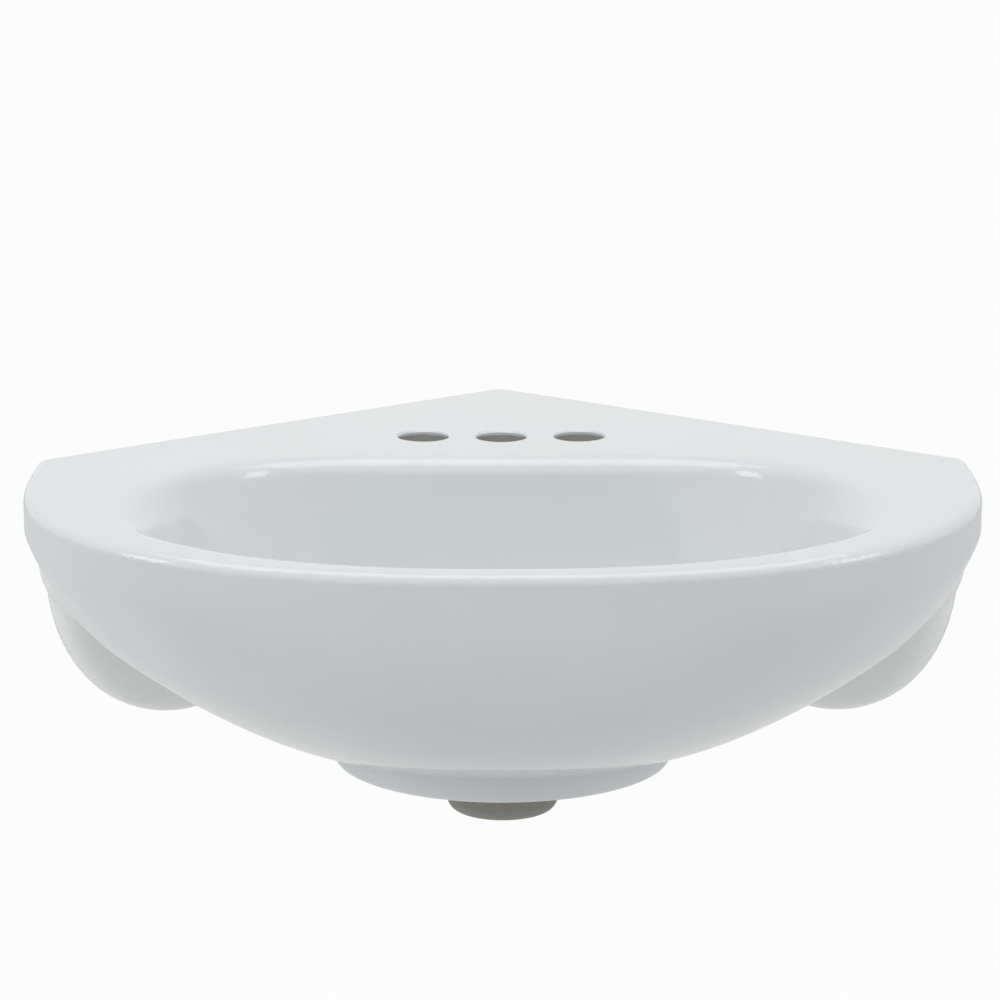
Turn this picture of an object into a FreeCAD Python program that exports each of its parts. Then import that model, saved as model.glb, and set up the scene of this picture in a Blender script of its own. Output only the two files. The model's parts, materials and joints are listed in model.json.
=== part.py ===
import FreeCAD, Part
import math
import os

import Sketcher

# Corner wall-hung basin with its wall hangers. Millimetres; origin in the room corner at the level of
# the wall edges, X to the right, Y into the corner, Z up. The walls are the planes y = -x and y = x.
# Pieces that belong to a wall are drawn with X along that wall, then turned into place.

SIZES = (
    # rim and deck
    ("half_width", 286.5, "half of the width over the wing tips"),
    ("projection", 492, "room corner to the front of the rim"),
    ("tip_round", 9, "plan radius of the wing tips"),
    ("apex_round", 14, "plan radius of the back corner"),
    ("rim_round", 7.5, "rounding of the rim's top edge"),
    ("front_drop", 29.5, "fall of the deck from the walls to the front"),
    ("deck_thick", 14, "least thickness of the deck"),
    ("tip_band", 18, "depth of the rim band below the wall edge at the widest line"),
    ("front_band", 52, "depth of the rim band below the wall edge at the front"),
    # hull and foot
    ("foot_depth", 183, "wall edge down to the foot ring's lower face"),
    ("hull_inset", 12, "wall to the hull's back face"),
    ("hull_tail", 160, "drain axis back to the middle of the lowest hull curve"),
    ("cove_reach", 34, "distance from the hull's back face over which it flares out to a flange"),
    ("cove_flare", 38, "how far the hull flares along the wall"),
    ("ring_radius", 104, "outer radius of the foot ring"),
    ("ring_inner", 88, "inner radius of the foot ring"),
    ("ring_rise", 30, "height of the foot ring's outer wall"),
    ("ring_hollow", 8, "depth of the hollow inside the foot ring"),
    ("ring_edge", 3, "rounding of the foot ring's lower edge"),
    ("outlet_radius", 34.5, "outer radius of the outlet boss"),
    ("outlet_drop", 34, "foot ring's lower face down to the outlet boss's"),
    ("outlet_edge", 8, "rounding of the outlet boss's lower edge"),
    ("drain_radius", 22.25, "radius of the drain hole"),
    ("seat_radius", 31, "radius of the seat for a waste flange"),
    ("seat_depth", 5, "depth of the seat for a waste flange"),
    # bowl
    ("bowl_end_margin", 80.5, "wing tip to the bowl's end wall below the lip"),
    ("bowl_back_gap", 64, "row of tap holes to the bowl's back wall below the lip"),
    ("bowl_front_margin", 22, "front of the rim to the bowl's front wall below the lip"),
    ("floor_thick", 23, "bowl's floor down to the foot ring's lower face"),
    ("bowl_flat", 34, "radius of the flat round the drain"),
    ("lip_round", 12.5, "rounding of the bowl's lip"),
    # tap holes
    ("tap_pitch", 50.8, "spacing of the tap holes"),
    ("tap_radius", 16.5, "radius of a tap hole"),
    ("tap_setback", 186, "room corner to the row of tap holes"),
    ("tap_edge", 1, "bevel of a tap hole's upper edge"),
    # hollow behind the bowl
    ("wall_thick", 11, "thickness of the china round the hollow"),
    ("mouth_end_margin", 136.5, "wing tip to the end of the hollow's mouth"),
    ("mouth_gap", 2, "foot ring to the front of the hollow's mouth"),
    # wall flanges
    ("flange_thick", 16, "thickness of a wall flange"),
    ("flange_end", 4.2, "wing tip to the end of a flange along the wall"),
    ("flange_lift", 3, "foot ring's lower face up to a flange's lower edge"),
    ("flange_corner", 108, "radius of a flange's lower outer corner"),
    ("flange_edge", 14, "rounding of a flange's free edge"),
    # china behind the wall hangers
    ("box_length", 168, "length of the thick part of a flange"),
    ("box_thick", 28, "wall to the inner face of the thick part"),
    ("box_end_gap", 33, "end of the thick part to the start of the flange's round corner"),
    ("box_top", 34, "wall edge down to the top of the thick part"),
    ("recess_depth", 12, "depth of the channel in a flange's back"),
    ("recess_margin", 14, "china left at the top and ends of the channel in a flange's back"),
    ("slot_width", 38, "width of a hook slot"),
    ("seat_gap", 0.3, "clearance between a hook and the china that it holds"),
    # wall hangers
    ("hanger_play", 10, "end of a hanger plate to the end of its channel"),
    ("hanger_top", 58, "wall edge down to the top of a hanger plate"),
    ("hanger_height", 60, "height of a hanger plate"),
    ("hanger_sheet", 4, "thickness of a hanger's steel"),
    ("hook_margin", 9, "end of a hanger plate to a hook"),
    ("hook_width", 26, "width of a hook"),
    ("hook_reach", 37, "wall to the front of a hook"),
    ("hook_rise", 10, "height of a hook's tip above its tongue"),
    ("hook_bend", 3, "rounding of a hook's outer bend"),
    ("plate_corner", 6, "rounding of a hanger plate's lower corners"),
    # wall screws and washers
    ("screw_drop", 36, "top of a hanger plate down to its screws"),
    ("screw_radius", 3, "radius of a screw's shank"),
    ("screw_hole_radius", 3.4, "radius of a screw hole"),
    ("screw_length", 50, "length of a screw behind the wall face"),
    ("screw_point", 6, "length of a screw's point"),
    ("head_across", 10, "width across the flats of a screw's head"),
    ("head_thick", 4.5, "height of a screw's head"),
    ("washer_radius", 8, "outer radius of a washer"),
    ("washer_thick", 1.5, "thickness of a washer"),
    # cutting
    ("overrun", 20, "how far every cut runs past the face that it opens"),
)

# Places that follow from the sizes above, each as a cell's formula.
PLACES = (
    ("widest_setback", "half_width + hull_inset * sqrt(2)", "room corner to the widest line of the rim"),
    ("bowl_half_width", "half_width - bowl_end_margin", "half of the bowl's width below the lip"),
    ("bowl_back", "tap_setback + bowl_back_gap", "room corner to the bowl's back wall"),
    ("bowl_front", "projection - bowl_front_margin", "room corner to the bowl's front wall"),
    ("bowl_length", "bowl_front - bowl_back", "length of the bowl below the lip"),
    ("bowl_widest", "bowl_back + widest_share * bowl_length", "room corner to the bowl's widest line"),
    ("drain_setback", "bowl_back + drain_share * bowl_length", "room corner to the drain axis"),
    ("hull_tail_setback", "drain_setback - hull_tail", "room corner to the lowest hull curve's middle"),
    ("bowl_depth", "foot_depth - floor_thick", "wall edge down to the bowl's floor"),
    ("outlet_depth", "foot_depth + outlet_drop", "wall edge down to the outlet boss's lower face"),
    ("flange_length", "half_width * sqrt(2) - flange_end", "room corner to the end of a flange"),
    ("flange_depth", "foot_depth - flange_lift", "wall edge down to a flange's lower edge"),
    ("mouth_half_width", "half_width - mouth_end_margin", "half of the width of the hollow's mouth"),
    ("mouth_front", "drain_setback - ring_radius - mouth_gap", "room corner to the mouth's front"),
    ("box_end", "flange_length - flange_corner - box_end_gap", "room corner to the end of the thick part"),
    ("hanger_place", "box_end - box_length / 2", "room corner to the middle of a hanger"),
    ("hanger_length", "box_length - 2 * recess_margin - 2 * hanger_play", "length of a hanger plate"),
    ("hook_pitch", "hanger_length - hook_width - 2 * hook_margin", "spacing of the two hooks of a hanger"),
    ("screw_pitch", "hook_pitch / 2", "spacing of the screws of a hanger"),
)
SHARES = (
    ("widest_share", 0.67273, "bowl's widest line, as a share of its length from the back"),
    ("drain_share", 0.27273, "drain axis, as a share of the bowl's length from the back"),
)

# Shapes that no length sets: powers of the plan curves, and shares of the sizes above.
RIM_POWER = 2.9
BOWL_POWER = 2.6
BOWL_BACK_POWER = 3.0
TAIL_POWER = 2.0
HULL_POWER = 2.5
CURVE_POINTS = 23
BOWL_POINTS = 28
HULL_DEPTH_SHARES = (0.0, 0.1, 0.24, 0.4, 0.55, 0.69, 0.81, 0.9, 0.96)
HULL_WIDTH_SHARES = (1.0, 0.988, 0.966, 0.926, 0.861, 0.785, 0.711, 0.65, 0.585)
HULL_FLARE_SHARES = (0.0, 0.07, 0.32, 0.56, 0.68, 0.83, 0.94, 1.03, 1.1)
HULL_TAIL_SHARES = (0.0, 0.08, 0.22, 0.38, 0.54, 0.7, 0.83, 0.93, 1.0)
BOWL_DEPTH_SHARES = (0.1, 0.25, 0.45, 0.63, 0.78, 0.9, 0.97, 1.0)
BOWL_WIDTH_SHARES = (1.0, 0.91, 0.785, 0.65, 0.51, 0.345, 0.175, 0.0)
BOWL_MOUTH_SHARE = 1.07
BOWL_BACK_SHARES = (1.0, 0.96, 0.89, 0.8, 0.68, 0.5, 0.28, 0.0)
BOWL_FRONT_SHARES = (1.0, 0.985, 0.95, 0.88, 0.76, 0.56, 0.3, 0.0)
BOWL_MIDDLE_SHARES = (1.0, 0.94, 0.82, 0.66, 0.47, 0.26, 0.1, 0.0)

UP = FreeCAD.Vector(0, 0, 1)
WALL_TURN = 45.0
RIGHT = "right"
LEFT = "left"
# Into the room is -Y in the drawing of a right wall's piece and +Y in that of a left wall's.
INWARD = {RIGHT: -1, LEFT: 1}
THREE_STEPS = (-1, 0, 1)
HOOK_STEPS = (-1, 1)

doc = FreeCAD.newDocument("corner_basin")
sheet = doc.addObject("Spreadsheet::Sheet", "Sizes")
for row, (alias, value, note) in enumerate(SIZES + SHARES + PLACES, start=1):
    sheet.set(f"A{row}", note)
    sheet.set(f"B{row}", f"={value}")
    sheet.setAlias(f"B{row}", alias)
doc.recompute()


def size(alias):
    """Value of a named cell of the sheet, in millimetres."""
    return float(sheet.get(alias))


def worth(text):
    """Value of an expression over the sheet's cells."""
    return float(sheet.evalExpression(text))


def point(x, y, z=0.0):
    return FreeCAD.Vector(x, y, z)


def feature(name, shape):
    """Document object for a shape that only Part functions can make."""
    made = doc.addObject("Part::Feature", name)
    made.Shape = shape
    return made


def combined(kind, name, base, tool):
    """Part::Cut or Part::Common of two objects."""
    made = doc.addObject(kind, name)
    made.Base = base
    made.Tool = tool
    made.Refine = True
    return made


def joined(name, pieces):
    """Union of objects."""
    made = doc.addObject("Part::MultiFuse", name)
    made.Shapes = pieces
    made.Refine = True
    return made


def rounded(name, base, chosen, radius):
    """Part::Fillet of the chosen edges of an object."""
    doc.recompute()
    edges = [(number, radius, radius) for number, edge in enumerate(base.Shape.Edges, 1) if chosen(edge)]
    if not edges:
        raise RuntimeError(f"{name}: no edge to round")
    made = doc.addObject("Part::Fillet", name)
    made.Base = base
    made.Edges = edges
    doc.recompute()
    return made


# Sketches and bodies.


def sketch_on(body, name, role, offset=None):
    """Sketch on one of a body's own planes, moved along the plane's normal by an expression."""
    plane = next(item for item in body.Origin.OriginFeatures if item.Role == role)
    sketch = body.newObject("Sketcher::SketchObject", name)
    sketch.AttachmentSupport = [(plane, "")]
    sketch.MapMode = "FlatFace"
    if offset is not None:
        sketch.setExpression("AttachmentOffset.Base.z", offset)
    return sketch


def bind(sketch, kind, geometry, place, text):
    """Tie one coordinate of a sketch point to an expression."""
    constraint = Sketcher.Constraint(kind, -1, 1, geometry, place, worth(text))
    number = sketch.addConstraint(constraint)
    sketch.setExpression(f"Constraints[{number}]", text)


def add_loop(sketch, corners):
    """Closed loop of lines whose corners are bound to expressions."""
    places = [point(worth(x), worth(y)) for x, y in corners]
    first = sketch.GeometryCount
    for start, end in zip(places, places[1:] + places[:1]):
        sketch.addGeometry(Part.LineSegment(start, end), False)
    for step in range(len(corners)):
        following = first + (step + 1) % len(corners)
        sketch.addConstraint(Sketcher.Constraint("Coincident", first + step, 2, following, 1))
    for step, (x, y) in enumerate(corners):
        bind(sketch, "DistanceX", first + step, 1, x)
        bind(sketch, "DistanceY", first + step, 1, y)


def add_circle(sketch, x, y, radius):
    """Circle with its centre and radius bound to expressions."""
    circle = Part.Circle(point(worth(x), worth(y)), UP, worth(radius))
    number = sketch.addGeometry(circle, False)
    bind(sketch, "DistanceX", number, 3, x)
    bind(sketch, "DistanceY", number, 3, y)
    constraint = sketch.addConstraint(Sketcher.Constraint("Radius", number, worth(radius)))
    sketch.setExpression(f"Constraints[{constraint}]", radius)


def add_pad(body, name, sketch, length, backwards=False):
    pad = body.newObject("PartDesign::Pad", name)
    pad.Profile = sketch
    pad.Reversed = backwards
    pad.setExpression("Length", length)
    return pad


def add_turn(body, name, sketch):
    """Full revolution about the sketch's vertical axis."""
    turn = body.newObject("PartDesign::Revolution", name)
    turn.Profile = sketch
    turn.ReferenceAxis = (sketch, ["V_Axis"])
    turn.Angle = 360.0
    return turn


def add_fillet(body, name, base, chosen, radius):
    """Rounding of a body's chosen edges, its radius bound to an expression."""
    doc.recompute()
    edges = [f"Edge{number}" for number, edge in enumerate(base.Shape.Edges, 1) if chosen(edge)]
    fillet = body.newObject("PartDesign::Fillet", name)
    fillet.Base = (base, edges)
    fillet.setExpression("Radius", radius)
    return fillet


def wall_body(name, side, along="0", level="0"):
    """Body drawn with X along a wall, put at a place along that wall and at a level."""
    body = doc.addObject("PartDesign::Body", name)
    body.Label = name
    turn = -WALL_TURN if side == RIGHT else WALL_TURN - 180.0
    body.Placement = FreeCAD.Placement(point(0.0, 0.0), FreeCAD.Rotation(UP, turn))
    body.setExpression("Placement.Base.x", f"{-INWARD[side]} * ({along}) * cos(45 deg)")
    body.setExpression("Placement.Base.y", f"-({along}) * cos(45 deg)")
    body.setExpression("Placement.Base.z", level)
    return body


def wall_slab(name, side, near, thick, corners):
    """Body with one flat pad that starts at a distance from the wall and grows into the room."""
    body = wall_body(name, side)
    sketch = sketch_on(body, f"{name}_outline", "XZ_Plane", f"{-INWARD[side]} * ({near})")
    add_loop(sketch, corners)
    add_pad(body, f"{name}_pad", sketch, thick, side == LEFT)
    return body


def box_corners(left, right, bottom, top):
    return ((left, bottom), (right, bottom), (right, top), (left, top))


# Free-form surfaces of the china: plan curves by formula, skinned from level to level.


def chord_shares(points):
    """Share of a polyline's length at each of its points."""
    runs = [0.0]
    for start, end in zip(points, points[1:]):
        runs.append(runs[-1] + start.distanceToPoint(end))
    return [run / runs[-1] for run in runs]


def curve_edge(points, shares):
    """Smooth edge through points, at shares that the sections of one loft have in common."""
    curve = Part.BSplineCurve()
    curve.interpolate(Points=points, Parameters=shares)
    return curve.toShape()


def power_point(turn, half_span, reach, setback, power):
    """Point of a superellipse at a turn from its front."""
    across = math.sin(turn)
    along = math.cos(turn)
    run = (abs(across) ** power + abs(along) ** power) ** (-1.0 / power)
    return point(half_span * run * across, -setback - reach * run * along)


def front_points(end_x, inset, front, setback, power):
    """Points of the curve round the front, wall to wall, closer together at its ends."""
    reach = front - setback
    end_y = end_x + inset * math.sqrt(2.0)
    depth = (end_y - setback) / reach
    breadth = (1.0 - depth**power) ** (1.0 / power)
    half_span = end_x / breadth
    turn = math.atan2(breadth, depth)
    spread = [math.pi * step / (CURVE_POINTS - 1) for step in range(CURVE_POINTS)]
    turns = [-turn * math.cos(angle) for angle in spread]
    points = [power_point(turn, half_span, reach, setback, power) for turn in turns]
    points[0] = point(-end_x, -end_y)
    points[-1] = point(end_x, -end_y)
    return points


def flared(place, inset, share):
    """Point of the hull moved along its wall by a share of the flare, the more the nearer the wall."""
    gap = (-place.y - abs(place.x)) * math.cos(math.radians(WALL_TURN)) - inset
    near = max(0.0, 1.0 - gap / size("cove_reach"))
    run = share * size("cove_flare") * near**2 * math.cos(math.radians(WALL_TURN))
    return point(place.x + math.copysign(run, place.x), place.y - run)


def tilted(shape, share, foot):
    """Flat shape leaned into the plane at a share of the way from the rim band down to the foot."""
    tip = size("tip_band") + share * (foot - size("tip_band"))
    front = size("front_band") + share * (foot - size("front_band"))
    slope = (front - tip) / (size("projection") - size("widest_setback"))
    lean = FreeCAD.Matrix()
    lean.A32 = slope
    lean.A34 = slope * size("widest_setback") - tip
    return shape.transformGeometry(lean)


def rim_outline():
    """Plan outline of the rim: front curve, wing tips, wall edges and back corner."""
    half = size("half_width")
    setback = size("widest_setback")
    half_turn = math.radians(WALL_TURN / 2.0)
    tip_run = size("tip_round") * math.tan(half_turn)
    tip_back = tip_run * math.cos(math.radians(WALL_TURN))
    apex = size("apex_round") * math.cos(math.radians(WALL_TURN))
    front_end = point(half, -setback)
    tip_start = point(half, -half - tip_run)
    tip_centre = point(half - size("tip_round"), -half - tip_run)
    tip_middle = tip_centre + point(math.cos(half_turn), math.sin(half_turn)) * size("tip_round")
    tip_end = point(half - tip_back, -half + tip_back)
    apex_start = point(apex, -apex)
    apex_middle = point(0.0, -size("apex_round") * (math.sqrt(2.0) - 1.0))

    def flip(place):
        return point(-place.x, place.y)

    front = front_points(half, size("hull_inset"), size("projection"), setback, RIM_POWER)
    edges = [
        curve_edge(front, chord_shares(front)),
        Part.LineSegment(front_end, tip_start).toShape(),
        Part.Arc(tip_start, tip_middle, tip_end).toShape(),
        Part.LineSegment(tip_end, apex_start).toShape(),
        Part.Arc(apex_start, apex_middle, flip(apex_start)).toShape(),
        Part.LineSegment(flip(apex_start), flip(tip_end)).toShape(),
        Part.Arc(flip(tip_end), flip(tip_middle), flip(tip_start)).toShape(),
        Part.LineSegment(flip(tip_start), flip(front_end)).toShape(),
    ]
    return Part.Wire(edges)


def hull_loft(thick, inset):
    """Hull below the rim band, its skin taken in by thick and its back inset from the walls."""
    wires = []
    shares = None
    drain = size("drain_setback")
    widest = size("widest_setback")
    foot = size("foot_depth") - thick
    corner = point(0.0, -inset * math.sqrt(2.0))
    levels = zip(HULL_DEPTH_SHARES, HULL_WIDTH_SHARES, HULL_FLARE_SHARES, HULL_TAIL_SHARES)
    for share, width, flare, tail in levels:
        end_x = size("half_width") * width - thick
        end_y = end_x + inset * math.sqrt(2.0)
        reach = (size("projection") - drain) * (1.0 - share**HULL_POWER) ** (1.0 / HULL_POWER)
        setback = min(widest + tail * (size("hull_tail_setback") - widest), end_y)
        power = RIM_POWER + tail * (TAIL_POWER - RIM_POWER)
        plain = front_points(end_x, inset, drain + reach - thick, setback, power)
        points = [flared(place, inset, flare) for place in plain]
        shares = shares or chord_shares(points)
        right = Part.LineSegment(points[-1], corner).toShape()
        left = Part.LineSegment(corner, points[0]).toShape()
        section = Part.Wire([curve_edge(points, shares), right, left])
        wires.append(tilted(section, share, foot))
    return Part.makeLoft(wires, True, False, False)


def bowl_points(half_span, back, front, middle, depth):
    """Points of the bowl's plan curve at one depth: two half superellipses that meet at its widest."""
    points = []
    for step in range(BOWL_POINTS):
        turn = 2.0 * math.pi * step / BOWL_POINTS
        if math.cos(turn) >= 0.0:
            place = power_point(turn, half_span, front - middle, middle, BOWL_POWER)
        else:
            place = power_point(turn, half_span, middle - back, middle, BOWL_BACK_POWER)
        points.append(point(place.x, place.y, -depth))
    return points


def closed_wire(points, shares):
    """Smooth closed wire through points."""
    curve = Part.BSplineCurve()
    curve.interpolate(Points=points, Parameters=shares, PeriodicFlag=True)
    return Part.Wire([curve.toShape()])


def bowl_loft(thick):
    """Space of the bowl, swollen by thick on all sides."""
    sections = []
    floor = size("bowl_flat")
    drain = size("drain_setback")
    shares = (BOWL_WIDTH_SHARES, BOWL_BACK_SHARES, BOWL_FRONT_SHARES, BOWL_MIDDLE_SHARES)
    for depth, width, back, front, middle in zip(BOWL_DEPTH_SHARES, *shares):
        half_span = floor + width * (size("bowl_half_width") - floor) + thick
        back_y = drain - floor + back * (size("bowl_back") - drain + floor) - thick
        front_y = drain + floor + front * (size("bowl_front") - drain - floor) + thick
        middle_y = drain + middle * (size("bowl_widest") - drain)
        if not sections:
            mouth_span = half_span * BOWL_MOUTH_SHARE
            sections.append(bowl_points(mouth_span, back_y, front_y, middle_y, -size("overrun")))
        level = depth * (size("bowl_depth") + thick)
        sections.append(bowl_points(half_span, back_y, front_y, middle_y, level))
    mouth = sections[0]
    spread = chord_shares(mouth + mouth[:1])
    return Part.makeLoft([closed_wire(points, spread) for points in sections], True, False, False)


def deck_fall(x, y):
    """How far the deck's surface lies below the wall edges."""
    return size("front_drop") * (y**2 - x**2) / size("projection") ** 2


def deck_block(drop):
    """Everything below the deck's surface, which is ruled from wall to wall, lowered by drop."""
    near = -size("overrun")
    far = size("projection") + size("overrun")

    def corner(along, across):
        x = (along - across) * math.cos(math.radians(WALL_TURN))
        y = -(along + across) * math.cos(math.radians(WALL_TURN))
        return point(x, y, -deck_fall(x, y) - drop)

    first = Part.LineSegment(corner(near, near), corner(far, near)).toShape()
    second = Part.LineSegment(corner(near, far), corner(far, far)).toShape()
    return Part.makeRuledSurface(first, second).extrude(UP * -(size("outlet_depth") + far))


def below_band():
    """Everything below the rim band's lower edge."""
    far = size("projection") + size("overrun")
    corners = [point(-far, far), point(far, far), point(far, -far), point(-far, -far)]
    face = Part.Face(Part.makePolygon(corners + corners[:1]))
    return tilted(face, 0.0, size("foot_depth")).extrude(UP * -far)


# Outside of the china: rim band, hull, flanges and the thick parts behind the hangers.


def flange_body(side):
    """Wall flange: a slab with a large round lower corner and a soft free edge."""
    corners = box_corners("0", "Sizes.flange_length", "-Sizes.flange_depth", "Sizes.overrun")
    body = wall_slab(f"{side}_flange", side, "0", "Sizes.flange_thick", corners)

    def lower_corner(edge):
        box = edge.BoundBox
        low = box.ZMax < -size("flange_depth") + size("seat_gap")
        return low and box.XMin > size("flange_length") - size("seat_gap")

    def free_edge(edge):
        box = edge.BoundBox
        inner = min(abs(box.YMin), abs(box.YMax)) > size("flange_thick") - size("seat_gap")
        outer = box.XMax > size("flange_thick") and box.ZMin < size("seat_gap")
        return inner and outer

    corner = add_fillet(body, f"{side}_flange_corner", body.Tip, lower_corner, "Sizes.flange_corner")
    add_fillet(body, f"{side}_flange_edge", corner, free_edge, "Sizes.flange_edge")
    return body


def hanger_box(side):
    """Thick part of a flange, which hangs over a wall hanger."""
    corners = box_corners(
        "Sizes.hanger_place - Sizes.box_length / 2",
        "Sizes.hanger_place + Sizes.box_length / 2",
        "-Sizes.flange_depth",
        "-Sizes.box_top",
    )
    return wall_slab(f"{side}_box", side, "0", "Sizes.box_thick", corners)


def hanger_channel(side):
    """Channel in a flange's back for the hanger plate, open to the wall and below."""
    corners = box_corners(
        "Sizes.hanger_place - Sizes.box_length / 2 + Sizes.recess_margin",
        "Sizes.hanger_place + Sizes.box_length / 2 - Sizes.recess_margin",
        "-Sizes.flange_depth - Sizes.overrun",
        "-Sizes.box_top - Sizes.recess_margin",
    )
    depth = "Sizes.overrun + Sizes.recess_depth"
    return wall_slab(f"{side}_channel", side, "-Sizes.overrun", depth, corners)


def hook_slot(side, step):
    """Slot that a hook stands in, open below so that the china lifts straight off."""
    middle = f"Sizes.hanger_place + {step} * Sizes.hook_pitch / 2"
    corners = box_corners(
        f"{middle} - Sizes.slot_width / 2",
        f"{middle} + Sizes.slot_width / 2",
        "-Sizes.flange_depth - Sizes.overrun",
        "-Sizes.hanger_top + Sizes.seat_gap",
    )
    name = f"{side}_slot_{step + 1}"
    return wall_slab(name, side, "0", "Sizes.box_thick + Sizes.overrun", corners)


def foot_body():
    """Foot ring and outlet boss, turned about the drain axis."""
    body = doc.addObject("PartDesign::Body", "foot")
    body.setExpression("Placement.Base.y", "-Sizes.drain_setback")
    sketch = sketch_on(body, "foot_profile", "XZ_Plane")
    ring_top = "-Sizes.foot_depth + Sizes.ring_rise"
    hollow = "-Sizes.foot_depth + Sizes.ring_hollow"
    corners = (
        ("0", ring_top),
        ("Sizes.ring_radius", ring_top),
        ("Sizes.ring_radius", "-Sizes.foot_depth"),
        ("Sizes.ring_inner", "-Sizes.foot_depth"),
        ("Sizes.ring_inner", hollow),
        ("Sizes.outlet_radius", hollow),
        ("Sizes.outlet_radius", "-Sizes.outlet_depth"),
        ("0", "-Sizes.outlet_depth"),
    )
    add_loop(sketch, corners)
    turned = add_turn(body, "foot_turn", sketch)

    def outlet_edge(edge):
        return edge.BoundBox.ZMax < -size("outlet_depth") + size("seat_gap")

    def ring_edges(edge):
        low = abs(edge.BoundBox.ZMax + size("foot_depth")) < size("seat_gap")
        return low and abs(edge.BoundBox.ZMin + size("foot_depth")) < size("seat_gap")

    outlet = add_fillet(body, "outlet_rounding", turned, outlet_edge, "Sizes.outlet_edge")
    add_fillet(body, "ring_rounding", outlet, ring_edges, "Sizes.ring_edge")
    return body


def drain_cut():
    """Drain hole with the seat of a waste flange, turned about the drain axis."""
    body = doc.addObject("PartDesign::Body", "drain_cut")
    body.setExpression("Placement.Base.y", "-Sizes.drain_setback")
    sketch = sketch_on(body, "drain_profile", "XZ_Plane")
    seat = "-Sizes.bowl_depth - Sizes.seat_depth"
    corners = (
        ("0", "-Sizes.bowl_depth"),
        ("Sizes.seat_radius", "-Sizes.bowl_depth"),
        ("Sizes.drain_radius", seat),
        ("Sizes.drain_radius", "-Sizes.outlet_depth - Sizes.overrun"),
        ("0", "-Sizes.outlet_depth - Sizes.overrun"),
    )
    add_loop(sketch, corners)
    add_turn(body, "drain_turn", sketch)
    return body


def tap_hole(step):
    """Tap hole square to the sloping deck, with a bevelled mouth."""
    body = doc.addObject("PartDesign::Body", f"tap_hole_{step + 2}")
    body.Placement = FreeCAD.Placement(point(0.0, 0.0), FreeCAD.Rotation(point(1.0, 0.0), WALL_TURN))
    lean = "atan(2 * Sizes.front_drop * Sizes.tap_setback / Sizes.projection ^ 2)"
    fall = f"(Sizes.tap_setback ^ 2 - ({step} * Sizes.tap_pitch) ^ 2) / Sizes.projection ^ 2"
    body.setExpression("Placement.Rotation.Angle", lean)
    body.setExpression("Placement.Base.x", f"{step} * Sizes.tap_pitch")
    body.setExpression("Placement.Base.y", "-Sizes.tap_setback")
    body.setExpression("Placement.Base.z", f"-Sizes.front_drop * {fall}")
    sketch = sketch_on(body, f"tap_profile_{step + 2}", "XZ_Plane")
    corners = (
        ("0", "-Sizes.deck_thick - Sizes.overrun"),
        ("Sizes.tap_radius", "-Sizes.deck_thick - Sizes.overrun"),
        ("Sizes.tap_radius", "-Sizes.tap_edge"),
        ("Sizes.tap_radius + Sizes.tap_edge + Sizes.overrun", "Sizes.overrun"),
        ("0", "Sizes.overrun"),
    )
    add_loop(sketch, corners)
    add_turn(body, f"tap_turn_{step + 2}", sketch)
    return body


def hollow_mouth():
    """Open underside of the hollow behind the bowl."""
    body = doc.addObject("PartDesign::Body", "hollow_mouth")
    sketch = sketch_on(body, "mouth_outline", "XY_Plane", "-Sizes.foot_depth - Sizes.overrun")
    apex = "Sizes.flange_thick * sqrt(2)"
    corners = (
        ("0", f"-{apex}"),
        ("Sizes.mouth_half_width", f"-Sizes.mouth_half_width - {apex}"),
        ("Sizes.mouth_half_width", "-Sizes.mouth_front"),
        ("-Sizes.mouth_half_width", "-Sizes.mouth_front"),
        ("-Sizes.mouth_half_width", f"-Sizes.mouth_half_width - {apex}"),
    )
    add_loop(sketch, corners)
    add_pad(body, "mouth_pad", sketch, "2 * Sizes.overrun + Sizes.wall_thick")
    return body


def hollow_round_bowl():
    """Space under the deck between the bowl and the hull's skin, for tap tails and pipes."""
    space = hull_loft(size("wall_thick"), size("flange_thick"))
    half = size("half_width")
    corner = point(-half, -size("bowl_widest"), -size("outlet_depth"))
    behind = Part.makeBox(2.0 * half, size("bowl_widest"), size("outlet_depth"), corner)
    under_deck = space.common(behind).common(deck_block(size("deck_thick")))
    return under_deck.cut(bowl_loft(size("wall_thick")))


outline = feature("rim_outline", rim_outline())
prism = doc.addObject("Part::Extrusion", "rim_prism")
prism.Base = outline
prism.Dir = UP
prism.Solid = True
prism.setExpression("LengthFwd", "Sizes.overrun")
prism.setExpression("LengthRev", "Sizes.foot_depth + Sizes.overrun")
band = combined("Part::Cut", "rim_band", prism, feature("below_band", below_band()))
hull = feature("hull", hull_loft(0.0, size("hull_inset")))
flanges = joined("flanges", [flange_body(side) for side in INWARD])
trimmed = combined("Part::Common", "trimmed_flanges", flanges, prism)
solid = joined("china_blank", [band, hull, trimmed])
blank = combined("Part::Common", "china_under_deck", solid, feature("deck_block", deck_block(0.0)))


def on_deck(place):
    return abs(place.z + deck_fall(place.x, place.y)) < size("seat_gap")


def deck_edge(edge):
    """True for an edge that lies in the deck's surface."""
    return all(on_deck(place) for place in edge.discretize(len(BOWL_DEPTH_SHARES)))


def lip_edge(edge):
    wide = edge.BoundBox.XLength > size("bowl_half_width")
    return wide and deck_edge(edge) and edge.BoundBox.YMax < -size("tap_setback")


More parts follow.
